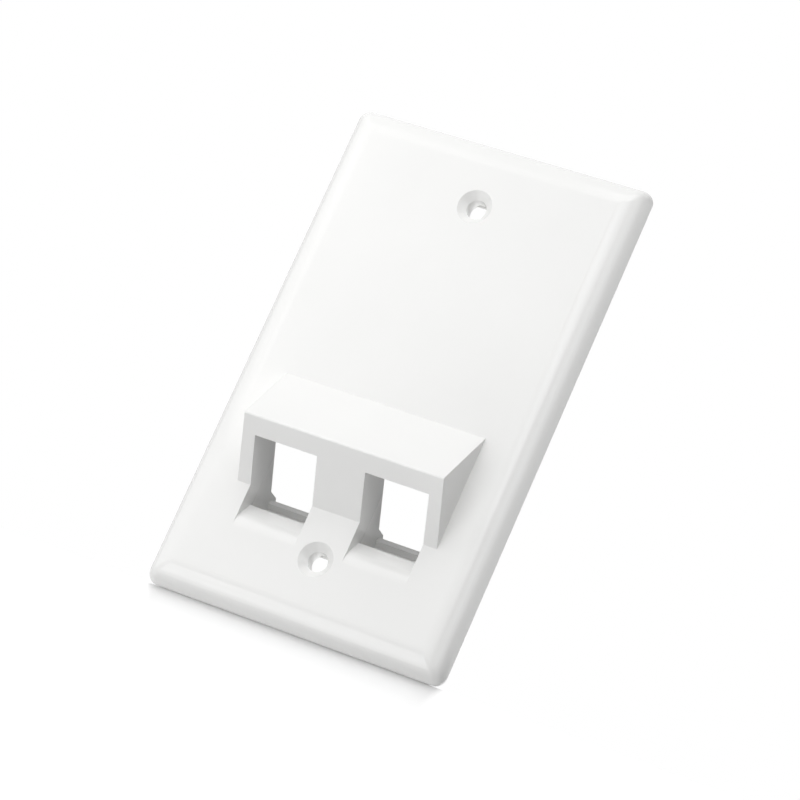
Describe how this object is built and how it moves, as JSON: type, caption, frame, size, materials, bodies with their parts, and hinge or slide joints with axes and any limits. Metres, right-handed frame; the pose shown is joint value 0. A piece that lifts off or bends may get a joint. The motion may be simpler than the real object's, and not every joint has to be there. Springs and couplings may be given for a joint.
{
  "type": "keystone faceplate",
  "caption": "White plastic wall plate with a sloped hood that leans its keystone openings down, rounded rim, hollow back and countersunk screw holes.",
  "frame": {"origin": "middle of the plane of the rim's back edge, which meets the wall, halfway between the two screws", "axes": "+X across the plate, +Y up the wall, +Z out of the plate's face into the room"},
  "size_m": [0.0698, 0.1142, 0.0282],
  "materials": {
    "white_plastic": "smooth, semi-gloss, moulded in one"
  },
  "bodies": {
    "root": {"faceplate": "white_plastic"}
  },
  "joints": []
}
